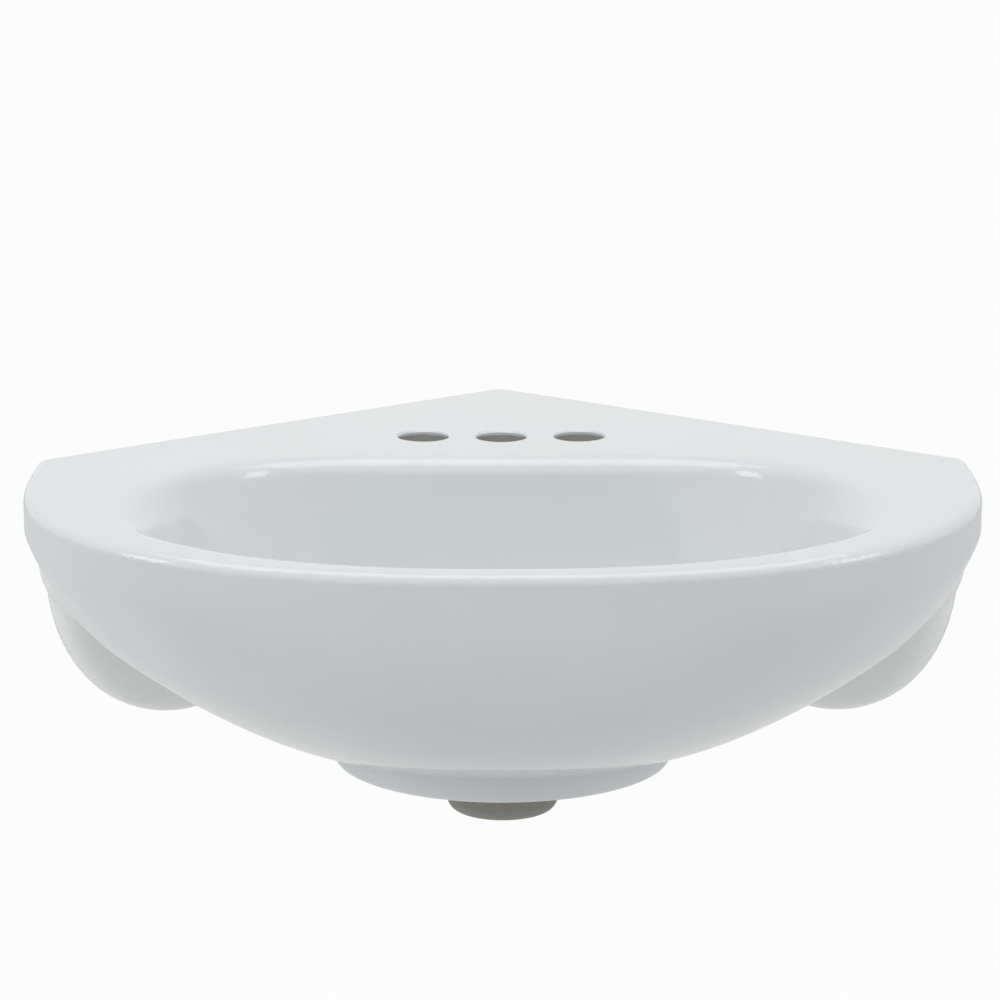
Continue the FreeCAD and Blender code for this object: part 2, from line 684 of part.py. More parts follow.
rim = rounded("china_rim", blank, deck_edge, size("rim_round"))
hollowed = combined("Part::Cut", "china_hollowed", rim, feature("hollow_space", hollow_round_bowl()))
mouthed = combined("Part::Cut", "china_mouthed", hollowed, hollow_mouth())
backed = joined("china_backed", [mouthed, foot_body()] + [hanger_box(side) for side in INWARD])
bowled = combined("Part::Cut", "china_bowled", backed, feature("bowl_space", bowl_loft(0.0)))
lipped = rounded("china_lipped", bowled, lip_edge, size("lip_round"))
holes = joined("holes", [drain_cut()] + [tap_hole(step) for step in THREE_STEPS])
drilled = combined("Part::Cut", "china_drilled", lipped, holes)
recesses = [hanger_channel(side) for side in INWARD]
recesses += [hook_slot(side, step) for side in INWARD for step in HOOK_STEPS]
basin = combined("Part::Cut", "basin", drilled, joined("recesses", recesses))


# Steel: hangers, screws and washers.


def wall_hanger(side):
    """Bent plate on a wall with two hooks that reach through the china's slots."""
    name = f"{side}_wall_hanger"
    body = wall_body(name, side)
    sketch = sketch_on(body, f"{name}_plate", "XZ_Plane")
    corners = box_corners(
        "Sizes.hanger_place - Sizes.hanger_length / 2",
        "Sizes.hanger_place + Sizes.hanger_length / 2",
        "-Sizes.hanger_top - Sizes.hanger_height",
        "-Sizes.hanger_top",
    )
    add_loop(sketch, corners)
    for step in THREE_STEPS:
        place = f"Sizes.hanger_place + {step} * Sizes.screw_pitch"
        add_circle(sketch, place, "-Sizes.hanger_top - Sizes.screw_drop", "Sizes.screw_hole_radius")
    last = add_pad(body, f"{name}_sheet", sketch, "Sizes.hanger_sheet", side == LEFT)

    def plate_corner(edge):
        box = edge.BoundBox
        level = -size("hanger_top") - size("hanger_height") + size("seat_gap")
        return box.ZMax < level and box.XLength < size("seat_gap")

    last = add_fillet(body, f"{name}_corners", last, plate_corner, "Sizes.plate_corner")
    reach = f"{INWARD[side]} * Sizes.hook_reach"
    inner = f"{INWARD[side]} * (Sizes.hook_reach - Sizes.hanger_sheet)"
    for step in HOOK_STEPS:
        start = f"Sizes.hanger_place + {step} * Sizes.hook_pitch / 2 - Sizes.hook_width / 2"
        hook = sketch_on(body, f"{name}_hook_{step + 1}", "YZ_Plane", start)
        profile = (
            ("0", "-Sizes.hanger_top - Sizes.hanger_sheet"),
            (reach, "-Sizes.hanger_top - Sizes.hanger_sheet"),
            (reach, "-Sizes.hanger_top + Sizes.hook_rise"),
            (inner, "-Sizes.hanger_top + Sizes.hook_rise"),
            (inner, "-Sizes.hanger_top"),
            ("0", "-Sizes.hanger_top"),
        )
        add_loop(hook, profile)
        last = add_pad(body, f"{name}_bend_{step + 1}", hook, "Sizes.hook_width")

    def outer_bend(edge):
        box = edge.BoundBox
        out = min(abs(box.YMin), abs(box.YMax)) > size("hook_reach") - size("seat_gap")
        return out and box.ZMax < -size("hanger_top") - size("seat_gap")

    add_fillet(body, f"{name}_bends", last, outer_bend, "Sizes.hook_bend")
    return body


def wall_screw(side, step):
    """Hex-head screw through a washer and a hanger plate into the wall."""
    name = f"{side}_hanger_screw_{step + 2}"
    along = f"Sizes.hanger_place + {step} * Sizes.screw_pitch"
    body = wall_body(name, side, along, "-Sizes.hanger_top - Sizes.screw_drop")
    shank = sketch_on(body, f"{name}_profile", "XY_Plane")
    seat = f"{INWARD[side]} * (Sizes.hanger_sheet + Sizes.washer_thick)"
    corners = (
        ("0", seat),
        ("Sizes.screw_radius", seat),
        ("Sizes.screw_radius", f"{-INWARD[side]} * (Sizes.screw_length - Sizes.screw_point)"),
        ("0", f"{-INWARD[side]} * Sizes.screw_length"),
    )
    add_loop(shank, corners)
    add_turn(body, f"{name}_shank", shank)
    under_head = f"{-INWARD[side]} * (Sizes.hanger_sheet + Sizes.washer_thick)"
    head = sketch_on(body, f"{name}_hexagon", "XZ_Plane", under_head)
    flat = "Sizes.head_across / 2"
    side_corner = "Sizes.head_across / 2 * tan(30 deg)"
    top_corner = "Sizes.head_across / 2 / cos(30 deg)"
    hexagon = (
        (flat, f"-{side_corner}"),
        (flat, side_corner),
        ("0", top_corner),
        (f"-{flat}", side_corner),
        (f"-{flat}", f"-{side_corner}"),
        ("0", f"-{top_corner}"),
    )
    add_loop(head, hexagon)
    add_pad(body, f"{name}_head", head, "Sizes.head_thick", side == LEFT)
    return body


def screw_washer(side, step):
    name = f"{side}_hanger_washer_{step + 2}"
    along = f"Sizes.hanger_place + {step} * Sizes.screw_pitch"
    body = wall_body(name, side, along, "-Sizes.hanger_top - Sizes.screw_drop")
    sketch = sketch_on(body, f"{name}_rings", "XZ_Plane", f"{-INWARD[side]} * Sizes.hanger_sheet")
    add_circle(sketch, "0", "0", "Sizes.washer_radius")
    add_circle(sketch, "0", "0", "Sizes.screw_hole_radius")
    add_pad(body, f"{name}_disc", sketch, "Sizes.washer_thick", side == LEFT)
    return body


pieces = [basin]
for side in INWARD:
    pieces.append(wall_hanger(side))
    pieces += [wall_screw(side, step) for step in THREE_STEPS]
    pieces += [screw_washer(side, step) for step in THREE_STEPS]
doc.recompute()

for item in doc.Objects:
    if "Invalid" in item.State or "Error" in item.State:
        raise RuntimeError(f"{item.Label}: {item.State}")
for piece in pieces:
    if piece.Shape.isNull() or not piece.Shape.isValid():
        raise RuntimeError(f"{piece.Label}: bad shape")
    if len(piece.Shape.Solids) != 1:
        raise RuntimeError(f"{piece.Label}: {len(piece.Shape.Solids)} solids")

os.makedirs("parts", exist_ok=True)
for piece in pieces:
    piece.Shape.exportStep(f"parts/{piece.Label}.step")
    print(piece.Label, round(piece.Shape.Volume / 1000.0, 2), "cm3")
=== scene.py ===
"""Looks of a wall-hung corner basin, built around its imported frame.

Metres; +X to the right, +Y into the room corner, +Z up.
"""

import bisect
import json
import logging
import math
from dataclasses import dataclass, field
from enum import Enum
from typing import Any, Iterable, Union

import bmesh
import bpy
from mathutils import Euler, Matrix, Vector
from mathutils.bvhtree import BVHTree


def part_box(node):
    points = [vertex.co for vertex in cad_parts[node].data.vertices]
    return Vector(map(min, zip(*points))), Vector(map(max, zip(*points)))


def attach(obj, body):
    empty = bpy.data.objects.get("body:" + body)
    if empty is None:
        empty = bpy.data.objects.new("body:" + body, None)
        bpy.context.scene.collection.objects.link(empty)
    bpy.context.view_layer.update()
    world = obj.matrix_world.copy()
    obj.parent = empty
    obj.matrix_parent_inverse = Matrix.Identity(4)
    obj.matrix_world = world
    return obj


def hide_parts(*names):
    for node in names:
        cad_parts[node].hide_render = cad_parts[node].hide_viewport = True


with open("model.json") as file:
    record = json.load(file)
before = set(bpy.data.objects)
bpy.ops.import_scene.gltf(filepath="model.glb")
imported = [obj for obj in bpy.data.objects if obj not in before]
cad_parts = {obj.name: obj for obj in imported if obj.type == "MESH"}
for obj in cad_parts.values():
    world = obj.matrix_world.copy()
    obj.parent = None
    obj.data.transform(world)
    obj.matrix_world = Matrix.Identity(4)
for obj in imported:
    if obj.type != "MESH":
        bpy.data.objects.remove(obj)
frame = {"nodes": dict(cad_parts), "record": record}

log = logging.getLogger("corner_basin")

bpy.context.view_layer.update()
MM = 0.001
WELD = 0.002 * MM
CUT_SNAP = 0.01 * MM
HALF_ROOT = math.sqrt(0.5)
FULL_TURN = 2.0 * math.pi
CENTRE = Vector((0.0, 0.0, 0.0))
UP = Vector((0.0, 0.0, 1.0))
DOWN = Vector((0.0, 0.0, -1.0))
WHITE = (1.0, 1.0, 1.0)
SCREW_NUMBERS = (1, 2, 3)

Number = Union[float, "Signal"]
Colour = tuple[float, float, float]
Pair = tuple[float, float]
Shape = bmesh.types.BMesh
Corner = bmesh.types.BMVert
Edge = bmesh.types.BMEdge
Face = bmesh.types.BMFace


def clamped(value: float) -> float:
    """A value kept between 0 and 1."""
    return min(max(value, 0.0), 1.0)


def eased(share: float) -> float:
    """A share from 0 to 1 that starts and ends softly."""
    return share * share * (3.0 - 2.0 * share)


class Side(Enum):
    """The two walls of the corner, by the sign of X."""

    LEFT = -1
    RIGHT = 1

    @property
    def word(self) -> str:
        """Name of the side in node names."""
        return self.name.lower()

    @property
    def outward(self) -> Vector:
        """Unit vector from the room into this wall."""
        return Vector((self.value, 1.0, 0.0)).normalized()

    def along(self, place: Vector) -> float:
        """Distance of a place from the room corner along this wall."""
        return (self.value * place.x - place.y) * HALF_ROOT

    def gap(self, place: Vector) -> float:
        """Distance of a place in front of this wall."""
        return -(self.value * place.x + place.y) * HALF_ROOT

    def spot(self, along: float, gap: float, level: float) -> Vector:
        """Place at a distance along this wall, in front of it and at a level."""
        return Vector((self.value * (along - gap), -along - gap, level / HALF_ROOT)) * HALF_ROOT


class MathOp(Enum):
    """Math node operations that the finishes use."""

    ADD = "ADD"
    SUBTRACT = "SUBTRACT"
    MULTIPLY = "MULTIPLY"
    MAXIMUM = "MAXIMUM"
    ABSOLUTE = "ABSOLUTE"
    SQUARE_ROOT = "SQRT"


@dataclass(frozen=True)
class Mottle:
    """Settings of one noise pattern: its scale per metre, its octaves and their roughness."""

    scale: float
    detail: float = 2.0
    roughness: float = 0.5


class Graph:
    """Node tree of one material or world, with one method that makes any node."""

    def __init__(self, tree: bpy.types.NodeTree) -> None:
        """Start from an empty tree."""
        self.tree = tree
        tree.nodes.clear()

    def node(self, kind: str, settings: dict[str, Any] | None = None, **inputs: Any) -> bpy.types.Node:
        """Make a node, set its settings first and then its sockets.

        Args:
            kind: The node's type name.
            settings: Attributes of the node, such as a Math node's operation.
            inputs: Values or signals by socket name, with _ for a space, or by number as in_0.

        Returns:
            The new node.
        """
        made = self.tree.nodes.new(kind)
        for name, value in (settings or {}).items():
            setattr(made, name, value)
        for name, value in inputs.items():
            numbered = name.startswith("in_")
            key: Union[int, str] = int(name[3:]) if numbered else name.replace("_", " ")
            self.feed(made.inputs[key], value)
        return made

    def feed(self, socket: bpy.types.NodeSocket, value: Any) -> None:
        """Link a signal to a socket, or set the socket's own value.

        Args:
            socket: The input socket.
            value: A signal, a number, a vector or a colour of three parts.
        """
        if isinstance(value, Signal):
            self.tree.links.new(value.socket, socket)
        elif socket.type == "RGBA" and len(value) == 3:
            socket.default_value = (*value, 1.0)
        else:
            socket.default_value = value

    def signal(
        self,
        kind: str,
        output: Union[int, str],
        settings: dict[str, Any] | None = None,
        **inputs: Any,
    ) -> "Signal":
        """Make a node and wrap one of its outputs.

        Args:
            kind: The node's type name.
            output: Name or number of the output.
            settings: Attributes of the node.
            inputs: Values or signals by socket name.

        Returns:
            The wrapped output.
        """
        return Signal(self, self.node(kind, settings, **inputs).outputs[output])

    def noise(self, place: "Signal", mottle: Mottle) -> "Signal":
        """Noise value from 0 to 1 at a place."""
        sockets = {"Scale": mottle.scale, "Detail": mottle.detail, "Roughness": mottle.roughness}
        return self.signal("ShaderNodeTexNoise", 0, Vector=place, **sockets)

    def mix_colour(self, share: Number, first: Any, second: Any) -> "Signal":
        """Colour between two colours."""
        settings = {"data_type": "RGBA"}
        return self.signal("ShaderNodeMix", 2, settings, in_0=share, in_6=first, in_7=second)

    def ramp(self, value: "Signal", low: float, high: float) -> "Signal":
        """Smooth step from 0 at low to 1 at high."""
        settings = {"interpolation_type": "SMOOTHSTEP", "clamp": True}
        return self.signal("ShaderNodeMapRange", 0, settings, Value=value, From_Min=low, From_Max=high)

    def seen(self, camera: float, mirrors: float) -> "Signal":
        """Mask of the rays that see a background.

        Args:
            camera: Value for rays from the camera.
            mirrors: Value for rays that a glossy or clear surface sends on.

        Returns:
            The mask, which is 0 for all other rays.
        """
        path = self.node("ShaderNodeLightPath")
        mask = Signal(self, path.outputs["Is Camera Ray"]) * camera
        for name in ("Is Glossy Ray", "Is Transmission Ray"):
            mask = mask.most(Signal(self, path.outputs[name]) * mirrors)
        return mask


@dataclass(frozen=True)
class Signal:
    """A socket's value that Python's operators can work on."""

    graph: Graph
    socket: bpy.types.NodeSocket

    def _maths(self, kind: MathOp, first: Number, second: Number = 0.0) -> "Signal":
        """Add a Math node of a kind."""
        settings = {"operation": kind.value}
        return self.graph.signal("ShaderNodeMath", 0, settings, in_0=first, in_1=second)

    def __add__(self, other: Number) -> "Signal":
        """Sum."""
        return self._maths(MathOp.ADD, self, other)

    __radd__ = __add__

    def __sub__(self, other: Number) -> "Signal":
        """Difference."""
        return self._maths(MathOp.SUBTRACT, self, other)

    def __rsub__(self, other: Number) -> "Signal":
        """Difference, taken from a number."""
        return self._maths(MathOp.SUBTRACT, other, self)

    def __mul__(self, other: Number) -> "Signal":
        """Product."""
        return self._maths(MathOp.MULTIPLY, self, other)

    __rmul__ = __mul__

    def __abs__(self) -> "Signal":
        """Size without its sign."""
        return self._maths(MathOp.ABSOLUTE, self)

    def root(self) -> "Signal":
        """Square root."""
        return self._maths(MathOp.SQUARE_ROOT, self)

    def most(self, other: Number) -> "Signal":
        """The larger of two values."""
        return self._maths(MathOp.MAXIMUM, self, other)


@dataclass(frozen=True)
class Place:
    """Object coordinates of a surface point, whole and by axis."""

    vector: Signal
    x: Signal
    y: Signal
    z: Signal

    @classmethod
    def of(cls, graph: Graph) -> "Place":
        """Read the Object coordinates in a graph.

        Args:
            graph: The material's graph.

        Returns:
            The coordinates.
        """
        vector = graph.signal("ShaderNodeTexCoord", "Object")
        parts = graph.node("ShaderNodeSeparateXYZ", Vector=vector)
        return cls(vector, *(Signal(graph, parts.outputs[number]) for number in range(3)))


class Finish:
    """Base of the finishes: makes a material once and keeps it."""

    label = "finish"

    def material(self) -> bpy.types.Material:
        """Find the material, or make it at the first call.

        Returns:
            The material.
        """
        made = bpy.data.materials.get(self.label)
        if made is None:
            made = bpy.data.materials.new(self.label)
            made.use_nodes = True
            graph = Graph(made.node_tree)
            shader = self.shade(graph, Place.of(graph))
            graph.node("ShaderNodeOutputMaterial", Surface=shader)
        return made

    def shade(self, graph: Graph, place: Place) -> Signal:
        """Build the nodes.

        Args:
            graph: The material's graph.
            place: Object coordinates.

        Returns:
            The shader's output.
        """
        raise NotImplementedError

    def bump(self, graph: Graph, height: Signal, depth: float, strength: float) -> Signal:
        """Normal bent by a height from 0 to 1 that stands for a depth in metres."""
        return graph.signal("ShaderNodeBump", 0, Height=height, Distance=depth, Strength=strength)


@dataclass(frozen=True)
class ChinaFinish(Finish):
    """White glaze over vitreous china, with bare clay where glaze is wiped off or never reaches,
    painted shade darkening the clay of the boss and the tap holes, and painted light on the flanges.
    """

    label = "white_glaze"
    hidden_mark: str
    drain: Vector
    boss_radius: float
    boss_top: float
    taps: tuple[Vector, ...]
    tap_radius: float
    glaze: Colour = (0.80, 0.832, 0.845)
    glaze_thin: Colour = (0.785, 0.812, 0.82)
    # Painted light: a whiter glaze that brightens the flanges and their coves.
    glaze_painted_light: Colour = (0.935, 0.955, 0.95)
    # Bare clay of the outlet boss, darker than the bisque as painted shade under the bowl.
    boss_clay_and_shade: Colour = (0.39, 0.385, 0.36)
    boss_clay_and_shade_dark: Colour = (0.29, 0.285, 0.262)
    bisque: Colour = (0.64, 0.62, 0.575)
    bisque_dark: Colour = (0.56, 0.54, 0.50)
    # Bare clay of the tap holes' walls, darker than the bisque as painted shade in the holes.
    bore_clay_and_shade: Colour = (0.42, 0.415, 0.395)
    glaze_ior: float = 1.52
    glaze_roughness: float = 0.07
    peel_roughness: float = 0.02
    clay_roughness: float = 0.85
    boss_fade: float = 1.5 * MM
    boss_line: float = 1.0 * MM
    wall_fade: Pair = (-0.9 * MM, -0.2 * MM)
    bore_fade: Pair = (0.55 * MM, 0.75 * MM)
    bore_line: Pair = (1.4 * MM, 0.4 * MM)
    # Reach, depth and fade of the painted light on the flanges.
    painted_light_reach: float = 46.0 * MM
    painted_light_depth: float = 70.0 * MM
    painted_light_fade: float = 0.4
    ragged: Mottle = Mottle(220.0, 3.0)
    ragged_width: float = 1.6 * MM
    cloud: Mottle = Mottle(9.0, 3.0)
    cloud_range: Pair = (0.35, 0.7)
    peel: Mottle = Mottle(190.0, 1.5)
    sway: Mottle = Mottle(22.0, 1.0)
    sway_share: float = 0.75
    grain: Mottle = Mottle(1400.0, 4.0, 0.65)
    grain_range: Pair = (0.38, 0.66)
    grain_height: float = 0.6
    bump_depth: float = 0.12 * MM
    bump_strength: float = 0.35

    def _radius(self, place: Place, axis: Vector) -> Signal:
        """Distance from an upright axis.

        Args:
            place: Object coordinates.
            axis: A point of the axis.

        Returns:
            The distance.
        """
        across = place.x - axis.x
        along = place.y - axis.y
        return (across * across + along * along).root()

    def _wall_gap(self, place: Place) -> Signal:
        """Distance in front of the nearer wall, as a negative number."""
        return (abs(place.x) + place.y) * HALF_ROOT

    def _boss_clay_and_shade_mask(self, graph: Graph, place: Place, ragged: Signal) -> Signal:
        """Mask of the outlet boss's bare clay, darkened by painted shade for the shade under the bowl.

        Args:
            graph: The material's graph.
            place: Object coordinates.
            ragged: How far the glaze's edge wanders.

        Returns:
            The mask.
        """
        radius = self._radius(place, self.drain)
        boss = 1.0 - graph.ramp(radius, self.boss_radius, self.boss_radius + self.boss_fade)
        below = 1.0 - graph.ramp(place.z + ragged, self.boss_top - self.boss_line, self.boss_top)
        return boss * below

    def _rough(self, graph: Graph, place: Place, ragged: Signal) -> Signal:
        """Mask of the pale unglazed body: faces against the walls and hidden hollows.

        Args:
            graph: The material's graph.
            place: Object coordinates.
            ragged: How far the glaze's edge wanders.

        Returns:
            The mask.
        """
        back = graph.ramp(self._wall_gap(place) + ragged, *self.wall_fade)
        hidden = graph.signal("ShaderNodeAttribute", "Fac", {"attribute_name": self.hidden_mark})
        return back.most(hidden)

    def _bores(self, graph: Graph, place: Place, ragged: Signal) -> Signal:
        """Mask of the tap holes' walls, bare where the holes were cut through the unfired clay and
        darkened by painted shade inside the holes.

        Args:
            graph: The material's graph.
            place: Object coordinates.
            ragged: How far the glaze's edge wanders.

        Returns:
            The mask.
        """
        low, high = self.bore_line
        mask: Number = 0.0
        for tap in self.taps:
            depth = abs(self._radius(place, tap) - self.tap_radius)
            wall = 1.0 - graph.ramp(depth, *self.bore_fade)
            below = 1.0 - graph.ramp(place.z + ragged, tap.z - low, tap.z - high)
            mask = (wall * below).most(mask)
        return mask

    def _painted_flange_light(self, graph: Graph, place: Place) -> Signal:
        """Mask of the painted light that whitens the flanges and their coves against the shade beside
        the hull.

        Args:
            graph: The material's graph.
            place: Object coordinates.

        Returns:
            The mask.
        """
        reach, depth, fade = self.painted_light_reach, self.painted_light_depth, self.painted_light_fade
        near = graph.ramp(self._wall_gap(place), -reach, -reach * fade)
        return near * (1.0 - graph.ramp(place.z, -depth, -depth * fade))

    def shade(self, graph: Graph, place: Place) -> Signal:
        """Lay the bare clay, the unglazed body and the bores over the glaze, with painted shade in the
        boss's and bores' clay and painted light on the flanges.

        Args:
            graph: The material's graph.
            place: Object coordinates.

        Returns:
            The shader's output.
        """
        ragged = (graph.noise(place.vector, self.ragged) - 0.5) * self.ragged_width
        boss_clay_and_shade_share = self._boss_clay_and_shade_mask(graph, place, ragged)
        body_share = self._rough(graph, place, ragged)
        bore_share = self._bores(graph, place, ragged)
        bare = boss_clay_and_shade_share.most(body_share).most(bore_share)
        cloud = graph.ramp(graph.noise(place.vector, self.cloud), *self.cloud_range)
        peel = graph.noise(place.vector, self.peel)
        sway = graph.noise(place.vector, self.sway)
        grain = graph.noise(place.vector, self.grain)
        speck = graph.ramp(grain, *self.grain_range)
        white = graph.mix_colour(cloud, self.glaze, self.glaze_thin)
        # Painted light: the glaze turns whiter on the flanges.
        white = graph.mix_colour(self._painted_flange_light(graph, place), white, self.glaze_painted_light)
        body = graph.mix_colour(speck, self.bisque_dark, self.bisque)
        boss_clay_and_shade = graph.mix_colour(speck, self.boss_clay_and_shade_dark, self.boss_clay_and_shade)
        colour = graph.mix_colour(body_share, white, body)
        # Painted shade: the bores' and the boss's bare clay is darker than the bisque.
        colour = graph.mix_colour(bore_share, colour, self.bore_clay_and_shade)
        colour = graph.mix_colour(boss_clay_and_shade_share, colour, boss_clay_and_shade)
        gloss = self.glaze_roughness + peel * self.peel_roughness
        roughness = gloss + bare * (self.clay_roughness - self.glaze_roughness)
        wave = sway * self.sway_share + peel * (1.0 - self.sway_share)
        height = wave * (1.0 - bare) + grain * bare * self.grain_height
        return graph.signal(
            "ShaderNodeBsdfPrincipled",
            0,
            Base_Color=colour,
            Roughness=roughness,
            Normal=self.bump(graph, height, self.bump_depth, self.bump_strength),
            IOR=self.glaze_ior,
        )


@dataclass(frozen=True)
class GalvanisedFinish(Finish):
    """Zinc-dipped steel sheet with its crystal spangle and rubbed marks."""

    label = "galvanised_sheet"
    bright: Colour = (0.62, 0.63, 0.64)
    dull: Colour = (0.43, 0.45, 0.47)
    spangle_scale: float = 170.0
    spangle_tone: float = 0.7
    spangle_height: float = 0.4
    rub: Mottle = Mottle(60.0, 5.0, 0.7)
    grit: Mottle = Mottle(900.0, 3.0)
    roughness: float = 0.34
    rub_roughness: float = 0.16
    spangle_roughness: float = 0.06
    bump_depth: float = 0.03 * MM
    bump_strength: float = 0.5

    def shade(self, graph: Graph, place: Place) -> Signal:
        """Mix the spangle's crystals with rubbed marks.

        Args:
            graph: The material's graph.
            place: Object coordinates.

        Returns:
            The shader's output.
        """
        spangle = graph.signal(
            "ShaderNodeTexVoronoi",
            "Color",
            Vector=place.vector,
            Scale=self.spangle_scale,
        )
        crystal = graph.signal("ShaderNodeSeparateColor", 0, Color=spangle)
        rub = graph.noise(place.vector, self.rub)
        grit = graph.noise(place.vector, self.grit)
        tone = crystal * self.spangle_tone + rub * (1.0 - self.spangle_tone)
        height = crystal * self.spangle_height + grit * (1.0 - self.spangle_height)
        return graph.signal(
            "ShaderNodeBsdfPrincipled",
            0,
            Base_Color=graph.mix_colour(tone, self.dull, self.bright),
            Metallic=1.0,
            Roughness=self.roughness + rub * self.rub_roughness + crystal * self.spangle_roughness,
            Normal=self.bump(graph, height, self.bump_depth, self.bump_strength),
        )


@dataclass(frozen=True)
class ZincFinish(Finish):
    """Bright zinc plate of the screws and washers."""

    label = "zinc_plate"
    bright: Colour = (0.74, 0.74, 0.71)
    yellowed: Colour = (0.62, 0.60, 0.52)
    tone: Mottle = Mottle(120.0, 4.0, 0.6)
    tone_range: Pair = (0.4, 0.75)
    fine: Mottle = Mottle(1500.0)
    roughness: float = 0.22
    tone_roughness: float = 0.14
    bump_depth: float = 0.015 * MM
    bump_strength: float = 0.4

    def shade(self, graph: Graph, place: Place) -> Signal:
        """Let the plate turn yellow and duller in clouds.

        Args:
            graph: The material's graph.
            place: Object coordinates.

        Returns:
            The shader's output.
        """
        tone = graph.noise(place.vector, self.tone)
        fine = graph.noise(place.vector, self.fine)
        yellow = graph.ramp(tone, *self.tone_range)
        return graph.signal(
            "ShaderNodeBsdfPrincipled",
            0,
            Base_Color=graph.mix_colour(yellow, self.bright, self.yellowed),
            Metallic=1.0,
            Roughness=self.roughness + tone * self.tone_roughness,
            Normal=self.bump(graph, fine, self.bump_depth, self.bump_strength),
        )


@dataclass(frozen=True)
class FloorFinish(Finish):
    """Pale floor that goes to white for the camera and keeps its shadow."""

    label = "pale_floor"
    colour: Colour = (0.9, 0.9, 0.9)
    cloud: Mottle = Mottle(1.5)
    cloud_share: float = 0.985
    glow: float = 0.96
    mirrored_glow: float = 0.5

    def shade(self, graph: Graph, place: Place) -> Signal:
        """Mix a matte floor with the white that the camera and mirrors see.

        Args:
            graph: The material's graph.
            place: Object coordinates.

        Returns:
            The shader's output.
        """
        darker = tuple(self.cloud_share * part for part in self.colour)
        tone = graph.mix_colour(graph.noise(place.vector, self.cloud), self.colour, darker)
        matte = graph.signal("ShaderNodeBsdfDiffuse", 0, Color=tone)
        white = graph.signal("ShaderNodeEmission", 0, Color=WHITE, Strength=1.0)
        seen = graph.seen(self.glow, self.mirrored_glow)
        return graph.signal("ShaderNodeMixShader", 0, in_0=seen, in_1=matte, in_2=white)


def add_object(name: str, shape: Shape, finish: Finish) -> bpy.types.Object:
    """Turn a bmesh into an object of the scene.

    Args:
        name: The object's name.
        shape: The bmesh, which is freed.
        finish: The finish of all its faces.

    Returns:
        The new object.
    """
    mesh = bpy.data.meshes.new(name)
    shape.to_mesh(mesh)
    shape.free()
    mesh.materials.append(finish.material())
    made = bpy.data.objects.new(name, mesh)
    bpy.context.scene.collection.objects.link(made)
    return made


def welded_copy(node: str) -> Shape:
    """Copy a CAD node's loose triangles and merge their corners.

    Args:
        node: Name of the CAD node.

    Returns:
        The copy.
    """
    shape = bmesh.new()
    shape.from_mesh(frame["nodes"][node].data)
    bmesh.ops.remove_doubles(shape, verts=shape.verts, dist=WELD)
    return shape


def shade_by_angle(shape: Shape, limit: float) -> None:
    """Make all faces smooth, and sharp the edges past an angle.

    Args:
        shape: The bmesh.
        limit: The angle in radians.
    """
    for face in shape.faces:
        face.smooth = True
    for edge in shape.edges:
        edge.smooth = len(edge.link_faces) == 2 and edge.calc_face_angle() < limit


def sharp_edges(shape: Shape, limit: float) -> list[Edge]:
    """Edges between two faces that meet at more than a limit in radians."""
    joined = [edge for edge in shape.edges if len(edge.link_faces) == 2]
    return [edge for edge in joined if edge.calc_face_angle() > limit]


def soften(shape: Shape, edges: list[Edge], width: float) -> None:
    """Round edges by a small width.

    Args:
        shape: The bmesh.
        edges: The edges to round.
        width: The width in metres.
    """
    bmesh.ops.bevel(
        shape,
        geom=edges,
        offset=width,
        segments=2,
        affect="EDGES",
        profile=0.5,
        material=-1,
        clamp_overlap=True,
    )


def cut_faces(shape: Shape, faces: list[Face], place: Vector, normal: Vector) -> list[Face]:
    """Cut some faces of a bmesh along a plane.

    Args:
        shape: The bmesh.
        faces: The faces to cut.
        place: A point of the plane.
        normal: The plane's normal.

    Returns:
        The same faces, in pieces.
    """
    geom: list[Any] = list(faces)
    geom += dict.fromkeys(edge for face in faces for edge in face.edges)
    geom += dict.fromkeys(corner for face in faces for corner in face.verts)
    cut = bmesh.ops.bisect_plane(shape, geom=geom, dist=CUT_SNAP, plane_co=place, plane_no=normal)
    return [item for item in cut["geom"] if isinstance(item, Face)]


def spin_outline(shape: Shape, outline: Iterable[Pair], steps: int, closed: bool) -> None:
    """Spin an outline once round the Z axis.

    Args:
        shape: The bmesh that gets the surface.
        outline: Radius and height of each point.
        steps: Number of steps in the turn.
        closed: Whether the last point joins the first.
    """
    corners = [shape.verts.new((radius, 0.0, height)) for radius, height in outline]
    pairs = list(zip(corners, corners[1:]))
    if closed:
        pairs.append((corners[-1], corners[0]))
    edges = [shape.edges.new(pair) for pair in pairs]
    bmesh.ops.spin(
        shape,
        geom=corners + edges,
        axis=UP,
        cent=CENTRE,
        angle=FULL_TURN,
        steps=steps,
        use_merge=True,
    )


def close_holes(shape: Shape) -> None:
    """Fill every open loop of edges."""
    bmesh.ops.holes_fill(shape, edges=[edge for edge in shape.edges if edge.is_boundary], sides=0)


